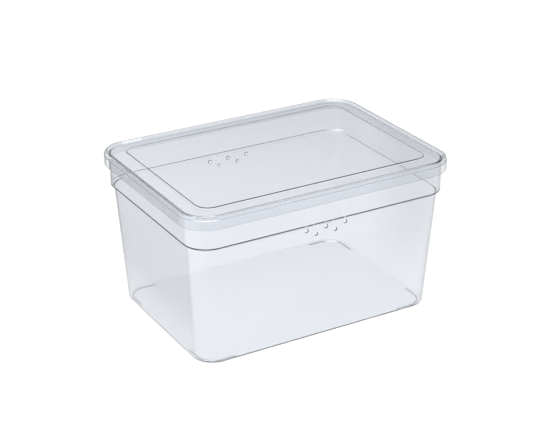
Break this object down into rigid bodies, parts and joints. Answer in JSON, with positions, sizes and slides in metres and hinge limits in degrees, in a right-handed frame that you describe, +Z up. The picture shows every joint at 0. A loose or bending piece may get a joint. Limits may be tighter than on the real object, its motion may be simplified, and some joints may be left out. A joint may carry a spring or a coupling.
{
  "type": "clear plastic shoe box with lift-off lid",
  "caption": "Clear rounded rectangular storage box for boots or shoes, with a tapered tub, vent holes under a stepped collar and a lift-off lid.",
  "frame": {"origin": "centre of the footprint, at the bottom of the stacking feet", "axes": "+X along the long sides, +Y along the short sides, +Z up"},
  "size_m": [0.38, 0.2768, 0.2094],
  "materials": {
    "tub": "clear, polished, very slightly blue-grey",
    "lid": "clear, polished, very slightly blue-grey"
  },
  "bodies": {
    "tub": {"tub": "tub"},
    "lid": {"lid": "lid"}
  },
  "joints": [
    {"name": "lid_lift", "type": "slide", "parent": "tub", "child": "lid", "axis": [0, 0, 1], "range_m": [0, 0.15]}
  ]
}
